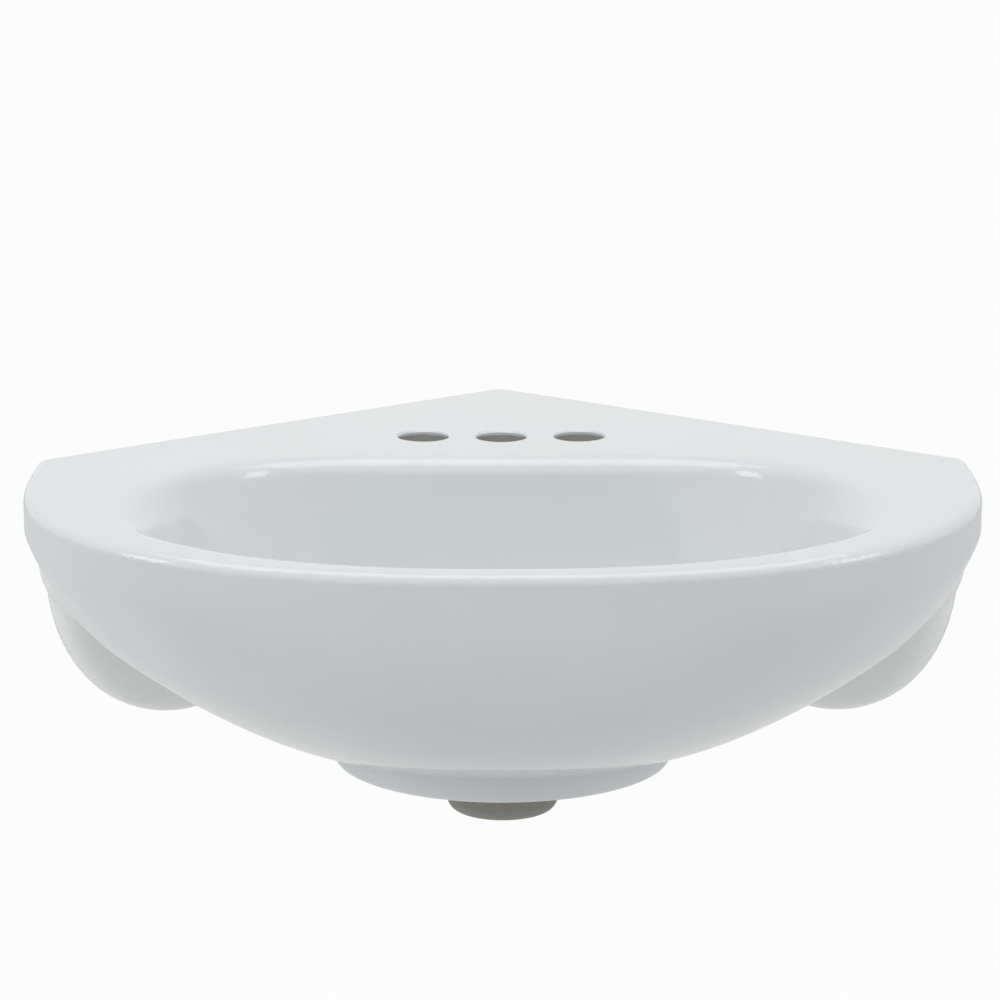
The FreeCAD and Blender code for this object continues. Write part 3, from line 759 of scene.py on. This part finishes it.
@dataclass
class ChinaBasin:
    """The fired china casting, from the CAD node's surface with welded, smooth faces.

    The ledge is the step that the CAD leaves below each wing tip, between the hull's back edge
    and the flange's free edge. An end is one of the two places where the deck runs softly into
    the bowl.
    """

    node: str = "basin"
    body: str = "basin_body"
    slot: str = "china"
    sharp_limit: float = math.radians(32.0)
    boss_radius: float = 36.5 * MM
    boss_rise: float = 36.0 * MM
    tap_mounts: tuple[str, ...] = ("tap_hole_left", "tap_hole_middle", "tap_hole_right")
    hidden_mark: str = "hidden_hollow"
    ray_lift: float = 1.5 * MM
    ray_limit: float = -0.5
    sky_steps: int = 12
    sky_tiers: tuple[float, ...] = (2.0, 22.0, 48.0, 75.0)
    sky_height: float = 100.0 * MM
    mark_passes: int = 4
    mark_share: float = 0.6
    rim_half: float = 286.5 * MM
    rim_middle: float = -303.5 * MM
    rim_reach: float = 188.5 * MM
    rim_power: float = 2.9
    rim_guard: Pair = (0.62, 0.84)
    end_middle: Pair = (202.0 * MM, -388.0 * MM)
    end_reach: Pair = (52.0 * MM, 84.0 * MM)
    end_step: float = 4.0 * MM
    end_floor: float = -70.0 * MM
    end_steepness: float = 0.15
    melt_radius: float = 13.0 * MM
    melt_rings: tuple[float, ...] = (0.4, 0.8, 1.2, 1.6, 2.0)
    melt_steps: int = 12
    melt_slack: float = 0.05 * MM
    ledge_top: float = -18.0 * MM
    ledge_foot: float = -101.9 * MM
    ledge_step: float = 4.0 * MM
    ledge_gap: Pair = (2.0 * MM, 12.0 * MM)
    ledge_slack: float = 0.05 * MM
    ledge_weld: float = 2.0 * WELD
    band_slope: float = 0.1275
    band_slack: float = 0.1 * MM
    tip_along: float = 417.17 * MM
    flange_along: float = 292.97 * MM
    flange_level: float = -72.0 * MM
    flange_radii: Pair = (108.0 * MM, 103.8 * MM)
    made: bpy.types.Object | None = field(default=None, init=False)

    def finish(self) -> ChinaFinish:
        """Place the china's masks by the record's mounts.

        Returns:
            The finish.
        """
        mounts = {mount["name"]: mount for mount in frame["record"]["mounts"]}
        taps = []
        for name in self.tap_mounts:
            half = mounts[name]["dims"]["length_mm"] * MM / 2.0
            taps.append(Vector(mounts[name]["pos_m"]) + Vector(mounts[name]["axis"]) * half)
        low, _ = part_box(self.node)
        return ChinaFinish(
            hidden_mark=self.hidden_mark,
            drain=Vector(mounts["drain_outlet"]["pos_m"]),
            boss_radius=self.boss_radius,
            boss_top=low.z + self.boss_rise,
            taps=tuple(taps),
            tap_radius=mounts[self.tap_mounts[0]]["dims"]["r_mm"] * MM,
        )

    def _sky(self) -> list[Vector]:
        """Spread rays over the sky.

        Returns:
            Directions above the horizon that a glaze spray comes from.
        """
        rays = [UP]
        for tier in self.sky_tiers:
            rise = math.radians(tier)
            for step in range(self.sky_steps):
                turn = FULL_TURN * step / self.sky_steps
                flat = Vector((math.cos(turn), math.sin(turn), 0.0)) * math.cos(rise)
                rays.append(flat + UP * math.sin(rise))
        return rays

    def _mark_hidden(self, shape: Shape) -> None:
        """Mark the faces that no ray from above the horizon reaches.

        These are the hollow and the foot's underside. Single faces then follow their neighbours.

        Args:
            shape: The china's bmesh.
        """
        layer = shape.faces.layers.float.new(self.hidden_mark)
        tree = BVHTree.FromBMesh(shape)
        sky = self._sky()
        for face in shape.faces:
            start = face.calc_center_median() + face.normal * self.ray_lift
            rays = [ray for ray in sky if face.normal.dot(ray) > self.ray_limit]
            rays.sort(key=face.normal.dot, reverse=True)
            open_sky = any(tree.ray_cast(start, ray)[0] is None for ray in rays)
            face[layer] = 0.0 if open_sky else 1.0
        for _ in range(self.mark_passes):
            odd = [face for face in shape.faces if self._stands_out(face, layer)]
            for face in odd:
                face[layer] = 1.0 - face[layer]

    def _stands_out(self, face: Face, layer: bmesh.types.BMLayerItem) -> bool:
        """Compare a face's mark with its neighbours' marks.

        Args:
            face: The face.
            layer: The layer of the marks.

        Returns:
            True where the mark differs from that of the faces along most of the outline.
        """
        other = 0.0
        for edge in face.edges:
            different = [near for near in edge.link_faces if near[layer] != face[layer]]
            other += edge.calc_length() * len(different)
        return other > self.mark_share * face.calc_perimeter()

    def _flange_end(self, level: float, radius: float) -> float:
        """How far along the wall a flange's outline of a corner radius reaches at a level."""
        drop = min(max(self.flange_level - level, 0.0), radius)
        return self.flange_along + math.sqrt(radius * radius - drop * drop)

    def _band_level(self, along: float, gap: float) -> float:
        """Level of the rim band's lower face over the ledge."""
        away = self.tip_along - along + self.ledge_gap[1] - gap
        return self.ledge_top + self.band_slope * away

    def _on_ledge(self, corner: Corner, side: Side) -> bool:
        """Test whether a point is on the ledge behind the hull.

        Args:
            corner: The point.
            side: The wall of the ledge.

        Returns:
            True on the ledge's flat face and on the flange's rounded edge.
        """
        along, gap, level = side.along(corner.co), side.gap(corner.co), corner.co.z
        slack = self.ledge_slack
        low, high = self.ledge_gap
        if not low - slack < gap < high + slack or level < self.ledge_foot - slack:
            return False
        inner = self._flange_end(level, self.flange_radii[1])
        return along > inner - slack and level < self._band_level(along, gap) + self.band_slack

    def _hull_edge(self, corners: Iterable[Corner], side: Side) -> list[Pair]:
        """Follow the hull's back edge up from its foot.

        Args:
            corners: The points of the ledge.
            side: The wall of the ledge.

        Returns:
            Levels and places along the wall, neither of which falls.
        """
        spots = [(self.ledge_foot, self._flange_end(self.ledge_foot, self.flange_radii[1]))]
        for corner in corners:
            behind = abs(side.gap(corner.co) - self.ledge_gap[1]) < self.ledge_slack
            if behind and corner.co.z < self.ledge_top + self.ledge_slack:
                spots.append((corner.co.z, side.along(corner.co)))
        widest: dict[int, Pair] = {}
        for spot in spots:
            key = round(spot[0] / self.ledge_slack)
            widest[key] = max(widest.get(key, spot), spot, key=lambda item: item[1])
        outer: list[Pair] = []
        for spot in sorted(widest.values()):
            if not outer or spot[1] >= outer[-1][1]:
                outer.append(spot)
        return outer

    def _hull_at(self, edge: list[Pair], level: float) -> float:
        """Read the hull's back edge at a level.

        Args:
            edge: Levels and places of the edge, from its foot up.
            level: The level.

        Returns:
            The place along the wall, between the two nearest points of the edge.
        """
        above = bisect.bisect_left(edge, level, 1, len(edge) - 1, key=lambda spot: spot[0])
        (low, start), (high, end) = edge[above - 1], edge[above]
        return start + (end - start) * clamped((level - low) / (high - low))

    def _filled(self, place: Vector, side: Side, edge: list[Pair]) -> Vector:
        """Move a point of the ledge out to the sloping face that fills it.

        Args:
            place: The point.
            side: The wall of the ledge.
            edge: Levels and places of the hull's back edge.

        Returns:
            The point's new place.
        """
        along, gap, level = side.along(place), side.gap(place), place.z
        under_band = abs(level - self._band_level(along, gap)) < self.band_slack
        low, high = self.ledge_gap
        free = self._flange_end(level, self.flange_radii[0])
        hull = self._hull_at(edge, level)
        moved = max(along, free + (hull - free) * clamped((gap - low) / (high - low)))
        return side.spot(moved, gap, self._band_level(moved, gap) if under_band else level)

    def _cut_ledge(self, shape: Shape, side: Side) -> None:
        """Cut the ledge's faces at even levels.

        Args:
            shape: The china's bmesh.
            side: The wall of the ledge.
        """
        faces = [
            face for face in shape.faces if all(self._on_ledge(corner, side) for corner in face.verts)
        ]
        steps = int((self.ledge_top - self.ledge_foot) / self.ledge_step)
        for step in range(1, steps + 1):
            faces = cut_faces(shape, faces, UP * (self.ledge_top - step * self.ledge_step), UP)
        bmesh.ops.triangulate(shape, faces=[face for face in shape.faces if len(face.verts) > 3])

    def _fill_ledges(self, shape: Shape) -> None:
        """Run the hull's back edge out to the flange's free edge, so that no ledge is left.

        Args:
            shape: The china's bmesh.
        """
        for side in Side:
            self._cut_ledge(shape, side)
            corners = [corner for corner in shape.verts if self._on_ledge(corner, side)]
            edge = self._hull_edge(corners, side)
            for corner in corners:
                corner.co = self._filled(corner.co, side, edge)
            log.info("filled %d points of the %s ledge", len(corners), side.word)
        bmesh.ops.remove_doubles(shape, verts=shape.verts, dist=self.ledge_weld)
        bmesh.ops.dissolve_degenerate(shape, edges=shape.edges, dist=self.ledge_weld)

    def _rimward(self, place: Vector) -> float:
        """How near a place is to the rim's outer edge, where this is 1."""
        front = max(self.rim_middle - place.y, 0.0) / self.rim_reach
        return (abs(place.x) / self.rim_half) ** self.rim_power + front**self.rim_power

    def _end_share(self, place: Vector) -> float:
        """Find how far the lip is melted at a place.

        Args:
            place: The place.

        Returns:
            1 at the middle of a bowl end, 0 outside its reach and near the rim.
        """
        across = (abs(place.x) - self.end_middle[0]) / self.end_reach[0]
        along = (place.y - self.end_middle[1]) / self.end_reach[1]
        inside, outside = self.rim_guard
        clear = clamped((outside - self._rimward(place)) / (outside - inside))
        return eased(clamped(1.0 - math.hypot(across, along) ** 2)) * eased(clear)

    def _end_axes(self, side: Side) -> tuple[tuple[int, float, float], ...]:
        """Axis number, middle and reach of the box round one bowl end, for X and Y."""
        across, along = self.end_middle
        return (0, across * side.value, self.end_reach[0]), (1, along, self.end_reach[1])

    def _near_end(self, face: Face, side: Side) -> bool:
        """Test whether an upper face's outline meets the box round a bowl end.

        Args:
            face: The face.
            side: The side of the bowl end.

        Returns:
            True where it does.
        """
        highest = max(corner.co.z for corner in face.verts)
        if face.normal.z < self.end_steepness or highest < self.end_floor:
            return False
        for axis, middle, reach in self._end_axes(side):
            spots = [corner.co[axis] - middle for corner in face.verts]
            if max(spots) < -reach or min(spots) > reach:
                return False
        return True

    def _cut_end(self, shape: Shape, side: Side) -> None:
        """Cut the upper faces round one bowl end into a fine grid.

        Args:
            shape: The china's bmesh.
            side: The side of the bowl end.
        """
        faces = [face for face in shape.faces if self._near_end(face, side)]
        for axis, middle, reach in self._end_axes(side):
            normal = Vector((1.0 - axis, float(axis), 0.0))
            steps = int(reach / self.end_step)
            for step in range(-steps, steps + 1):
                faces = cut_faces(shape, faces, normal * (middle + step * self.end_step), normal)
        bmesh.ops.triangulate(shape, faces=faces)

    def _top(self, tree: BVHTree, place: Vector) -> Vector | None:
        """Point of the upper surface over a place, if there is one."""
        return tree.ray_cast(Vector((place.x, place.y, self.sky_height)), DOWN)[0]

    def _melted(self, tree: BVHTree, place: Vector, share: float) -> float:
        """Even out the upper surface's height over a disc.

        Args:
            tree: The surface before it is melted.
            place: The disc's middle, on the surface.
            share: How far the lip is melted here.

        Returns:
            The new height.
        """
        total, weight = place.z, 1.0
        for ring in self.melt_rings:
            part = ring * math.exp(-ring * ring / 2.0)
            reach = ring * self.melt_radius * share
            for step in range(self.melt_steps):
                turn = FULL_TURN * (step + ring) / self.melt_steps
                spot = place + Vector((math.cos(turn), math.sin(turn), 0.0)) * reach
                top = self._top(tree, spot)
                if top is not None and self._rimward(spot) < self.rim_guard[1]:
                    total += top.z * part
                    weight += part
        return total / weight

    def _melt_ends(self, shape: Shape) -> None:
        """Melt the lip at the bowl's ends, where the deck runs softly into the bowl.

        Args:
            shape: The china's bmesh.
        """
        for side in Side:
            self._cut_end(shape, side)
        shape.normal_update()
        tree = BVHTree.FromBMesh(shape)
        levels: dict[Corner, float] = {}
        for corner in shape.verts:
            share = self._end_share(corner.co)
            if share > 0.0 and corner.co.z > self.end_floor:
                top = self._top(tree, corner.co)
                if top is not None and abs(top.z - corner.co.z) < self.melt_slack:
                    levels[corner] = self._melted(tree, corner.co, share)
        for corner, level in levels.items():
            corner.co.z = level
        log.info("melted %d points of the lip", len(levels))

    def build(self) -> bpy.types.Object:
        """Weld a copy of the CAD surface, fill its ledges, melt its ends and mark its hidden faces.

        Returns:
            The china object.
        """
        shape = welded_copy(self.node)
        bmesh.ops.dissolve_degenerate(shape, edges=shape.edges, dist=WELD)
        self._fill_ledges(shape)
        shape.normal_update()
        self._melt_ends(shape)
        shape.normal_update()
        shade_by_angle(shape, self.sharp_limit)
        self._mark_hidden(shape)
        self.made = add_object("basin_china", shape, self.finish())
        return self.made

    def dress(self) -> None:
        """Let the china stand for its CAD node and shade its large faces evenly."""
        weighted = self.made.modifiers.new("even_normals", "WEIGHTED_NORMAL")
        weighted.keep_sharp = True
        weighted.mode = "FACE_AREA_WITH_ANGLE"
        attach(self.made, self.body)
        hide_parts(self.node)


@dataclass
class WallHanger:
    """Bent sheet with two hooks that carries the china on one wall."""

    side: Side
    body: str = "wall_hangers"
    slot: str = "hanger_steel"
    edge_round: float = 0.5 * MM
    sharp_limit: float = math.radians(40.0)
    flat_limit: float = math.radians(0.5)
    made: bpy.types.Object | None = field(default=None, init=False)

    @property
    def node(self) -> str:
        """Name of the CAD node."""
        return f"{self.side.word}_wall_hanger"

    def build(self) -> bpy.types.Object:
        """Merge a copy of the CAD sheet and round its sheared edges.

        Returns:
            The hanger.
        """
        shape = welded_copy(self.node)
        bmesh.ops.dissolve_limit(
            shape,
            angle_limit=self.flat_limit,
            verts=shape.verts,
            edges=shape.edges,
        )
        soften(shape, sharp_edges(shape, self.sharp_limit), self.edge_round)
        shade_by_angle(shape, self.sharp_limit)
        self.made = add_object(f"{self.side.word}_hanger_sheet", shape, GalvanisedFinish())
        return self.made

    def dress(self) -> None:
        """Let the hanger stand for its CAD node and shade its flat sheet evenly."""
        weighted = self.made.modifiers.new("even_normals", "WEIGHTED_NORMAL")
        weighted.keep_sharp = True
        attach(self.made, self.body)
        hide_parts(self.node)


@dataclass
class HangerFixing:
    """One hex-head wall screw with its washer.

    Heights run along the screw, from 0 at the wall's face to reach at its point.
    """

    side: Side
    number: int
    body: str = "wall_hangers"
    slot: str = "zinc_steel"
    reach: float = 50.0 * MM
    point: float = 7.0 * MM
    shank_radius: float = 3.0 * MM
    shank_taper: float = 1.0 * MM
    root_radius: float = 2.15 * MM
    pitch: float = 2.6 * MM
    hidden_turns: float = 2.0
    root_share: float = 0.4
    crest_share: float = 0.7
    plain: float = 7.0 * MM
    head_sides: int = 6
    head_flats: float = 10.0 * MM
    head_thick: float = 4.5 * MM
    head_dome: float = 0.6 * MM
    dome_inset: float = 1.2 * MM
    washer_hole: float = 3.4 * MM
    washer_radius: float = 8.0 * MM
    washer_thick: float = 1.5 * MM
    sheet: float = 4.0 * MM
    edge_round: float = 0.35 * MM
    turn_steps: int = 24
    ring_steps: int = 48
    sharp_limit: float = math.radians(30.0)
    made: list[bpy.types.Object] = field(default_factory=list, init=False)

    @property
    def screw_node(self) -> str:
        """Name of the screw's CAD node."""
        return f"{self.side.word}_hanger_screw_{self.number}"

    @property
    def washer_node(self) -> str:
        """Name of the washer's CAD node."""
        return f"{self.side.word}_hanger_washer_{self.number}"

    @property
    def seat(self) -> float:
        """Height of the washer's outer face, which the head sits on."""
        return -self.sheet - self.washer_thick

    def _place(self) -> Matrix:
        """Find the screw by its CAD node's point.

        Returns:
            A frame with its origin on the wall's face and +Z along the screw.
        """
        outward = self.side.outward
        points = [point.co for point in frame["nodes"][self.screw_node].data.vertices]
        tip = max(points, key=outward.dot)
        turn = outward.to_track_quat("Z", "Y").to_matrix().to_4x4()
        return Matrix.Translation(tip - outward * self.reach) @ turn

    def _thread(self, shape: Shape) -> None:
        """Spin one pitch of the thread's outline along a helix and draw it out to a point.

        Args:
            shape: The screw's bmesh, still empty.
        """
        start = self.plain - self.hidden_turns * self.pitch
        turns = math.ceil((self.reach - start) / self.pitch)
        outline = (
            (self.root_radius, 0.0),
            (self.root_radius, self.root_share),
            (self.shank_radius, self.crest_share),
            (self.root_radius, 1.0),
        )
        corners = [
            shape.verts.new((radius, 0.0, start + share * self.pitch)) for radius, share in outline
        ]
        edges = [shape.edges.new(pair) for pair in zip(corners, corners[1:])]
        bmesh.ops.spin(
            shape,
            geom=corners + edges,
            axis=UP,
            cent=CENTRE,
            dvec=UP * (self.pitch / self.turn_steps),
            angle=FULL_TURN * turns,
            steps=self.turn_steps * turns,
        )
        for corner in shape.verts:
            share = clamped((self.reach - corner.co.z) / self.point)
            corner.co.x *= share
            corner.co.y *= share
            corner.co.z = min(corner.co.z, self.reach)
        bmesh.ops.remove_doubles(shape, verts=shape.verts, dist=WELD)
        bmesh.ops.dissolve_degenerate(shape, edges=shape.edges, dist=WELD)
        close_holes(shape)

    def _shank(self, shape: Shape) -> None:
        """Add the plain shank that runs down into the thread.

        Args:
            shape: The screw's bmesh.
        """
        outline = (
            (self.shank_radius, self.seat),
            (self.shank_radius, self.plain - self.shank_taper),
            (self.root_radius - self.edge_round, self.plain),
        )
        spin_outline(shape, outline, self.turn_steps, closed=False)
        close_holes(shape)

    def _head(self, shape: Shape) -> None:
        """Add the hex head with rounded edges and a low dome.

        Args:
            shape: The screw's bmesh.
        """
        depth = self.head_thick - self.head_dome
        radius = self.head_flats / 2.0 / math.cos(math.pi / self.head_sides)
        made = bmesh.ops.create_cone(
            shape,
            cap_ends=True,
            segments=self.head_sides,
            radius1=radius,
            radius2=radius,
            depth=depth,
            matrix=Matrix.Translation(UP * (self.seat - depth / 2.0)),
        )
        faces = list(dict.fromkeys(face for corner in made["verts"] for face in corner.link_faces))
        top = min(faces, key=lambda face: face.calc_center_median().z)
        bmesh.ops.inset_individual(shape, faces=[top], thickness=self.dome_inset)
        bmesh.ops.translate(shape, verts=top.verts, vec=DOWN * self.head_dome)
        faces += top.edges[0].link_faces
        edges = dict.fromkeys(edge for face in faces for edge in face.edges)
        soften(shape, list(edges), self.edge_round)

    def _screw(self, place: Matrix) -> bpy.types.Object:
        """Make the screw.

        Args:
            place: The screw's frame.

        Returns:
            The screw.
        """
        shape = bmesh.new()
        self._thread(shape)
        self._shank(shape)
        self._head(shape)
        bmesh.ops.recalc_face_normals(shape, faces=shape.faces)
        bmesh.ops.transform(shape, matrix=place, verts=shape.verts)
        shade_by_angle(shape, self.sharp_limit)
        return add_object(f"{self.side.word}_wall_screw_{self.number}", shape, ZincFinish())

    def _washer(self, place: Matrix) -> bpy.types.Object:
        """Make the washer under the head.

        Args:
            place: The screw's frame.

        Returns:
            The washer.
        """
        shape = bmesh.new()
        outline = (
            (self.washer_hole, self.seat),
            (self.washer_radius, self.seat),
            (self.washer_radius, -self.sheet),
            (self.washer_hole, -self.sheet),
        )
        spin_outline(shape, outline, self.ring_steps, closed=True)
        bmesh.ops.recalc_face_normals(shape, faces=shape.faces)
        soften(shape, sharp_edges(shape, self.sharp_limit), self.edge_round)
        bmesh.ops.transform(shape, matrix=place, verts=shape.verts)
        shade_by_angle(shape, self.sharp_limit)
        return add_object(f"{self.side.word}_screw_washer_{self.number}", shape, ZincFinish())

    def build(self) -> list[bpy.types.Object]:
        """Make the screw and its washer.

        Returns:
            Both pieces.
        """
        place = self._place()
        self.made = [self._screw(place), self._washer(place)]
        return self.made

    def dress(self) -> None:
        """Let the pieces stand for their CAD nodes."""
        for piece, node in zip(self.made, (self.screw_node, self.washer_node)):
            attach(piece, self.body)
            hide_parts(node)


@dataclass(frozen=True)
class Lamp:
    """One soft rectangular lamp, in metres and watts, which the glaze mirrors or not."""

    name: str
    place: tuple[float, float, float]
    size: Pair
    power: float
    mirrored: bool


@dataclass
class Studio:
    """Pale floor, white surround, soft lamps and the photograph's camera.

    The lamps are a soft box overhead and three on each side: a small window that the glaze
    mirrors, a wide wash and a low fill that it doesn't. The right side is a little dimmer.
    """

    floor_level: float = -0.85
    floor_radius: float = 110.0
    floor_sides: int = 96
    ambient: float = 0.32
    aim: Vector = field(default_factory=lambda: Vector((0.0, -0.3, -0.08)))
    lamps: tuple[Lamp, ...] = (
        Lamp("top_box", (0.0, -0.5, 1.9), (1.8, 1.3), 14.0, True),
        Lamp("left_window", (-1.7, -1.5, 1.2), (0.55, 0.85), 5.5, True),
        Lamp("left_wash", (-1.75, -1.55, 1.25), (1.2, 1.2), 8.0, False),
        Lamp("left_fill", (-2.3, -0.95, -0.2), (0.9, 0.6), 6.0, False),
        Lamp("right_window", (1.7, -1.5, 1.2), (0.55, 0.85), 4.84, True),
        Lamp("right_wash", (1.75, -1.55, 1.25), (1.2, 1.2), 7.04, False),
        Lamp("right_fill", (2.3, -0.95, -0.2), (0.9, 0.6), 3.598, False),
    )
    camera_distance: float = 2.0
    camera_height: float = 0.3061
    camera_pitch: float = math.radians(11.0)
    camera_turn: float = math.radians(0.35)
    camera_shift: float = 0.0005
    camera_far: float = 250.0
    sensor_width: float = 36.0
    lens: float = 101.74

    def build(self) -> None:
        """Make the floor, the world, the lamps and the camera."""
        self._floor()
        self._world()
        for lamp in self.lamps:
            self._hang(lamp)
        self._camera()

    def _floor(self) -> None:
        """Make the large pale disc that the object's shadow falls on."""
        shape = bmesh.new()
        bmesh.ops.create_circle(
            shape,
            cap_ends=True,
            segments=self.floor_sides,
            radius=self.floor_radius,
        )
        bmesh.ops.translate(shape, verts=shape.verts, vec=UP * self.floor_level)
        floor = add_object("floor", shape, FloorFinish())

    def _world(self) -> None:
        """Make a surround that is white to the camera and mirrors and a soft light to the rest."""
        world = bpy.data.worlds.new("white_surround")
        bpy.context.scene.world = world
        world.use_nodes = True
        graph = Graph(world.node_tree)
        strength = graph.seen(1.0, 1.0) * (1.0 - self.ambient) + self.ambient
        light = graph.signal("ShaderNodeBackground", 0, Color=WHITE, Strength=strength)
        graph.node("ShaderNodeOutputWorld", Surface=light)

    def _hang(self, lamp: Lamp) -> None:
        """Add a lamp that faces the basin.

        Args:
            lamp: The lamp.
        """
        data = bpy.data.lights.new(lamp.name, "AREA")
        data.shape = "RECTANGLE"
        data.size, data.size_y = lamp.size
        data.energy = lamp.power
        made = bpy.data.objects.new(lamp.name, data)
        bpy.context.scene.collection.objects.link(made)
        made.location = lamp.place
        made.rotation_euler = (self.aim - Vector(lamp.place)).to_track_quat("-Z", "Y").to_euler()
        made.visible_glossy = lamp.mirrored

    def _camera(self) -> None:
        """Put the camera at the photograph's place."""
        data = bpy.data.cameras.new("photo_camera")
        data.lens = self.lens
        data.sensor_width = self.sensor_width
        data.shift_x = self.camera_shift
        data.clip_end = self.camera_far
        camera = bpy.data.objects.new("photo_camera", data)
        bpy.context.scene.collection.objects.link(camera)
        swing = Matrix.Rotation(-self.camera_turn, 4, "Z")
        stand = Matrix.Translation((0.0, -self.camera_distance, self.camera_height))
        tilt = Euler((math.pi / 2.0 - self.camera_pitch, 0.0, 0.0)).to_matrix().to_4x4()
        camera.matrix_world = swing @ stand @ tilt
        bpy.context.scene.camera = camera


def report(made: Iterable[bpy.types.Object]) -> None:
    """Log each piece's name and number of faces."""
    for item in made:
        log.info("%s: %d faces", item.name, len(item.data.polygons))


def main() -> None:
    """Build and dress every sub-assembly, then the studio round it."""
    logging.basicConfig(level=logging.INFO)
    basin = ChinaBasin()
    report([basin.build()])
    basin.dress()
    for side in Side:
        hanger = WallHanger(side)
        report([hanger.build()])
        hanger.dress()
        for number in SCREW_NUMBERS:
            fixing = HangerFixing(side, number)
            report(fixing.build())
            fixing.dress()
    bpy.context.scene.view_settings.view_transform = "Standard"
    Studio().build()


if __name__ == "__main__":
    main()
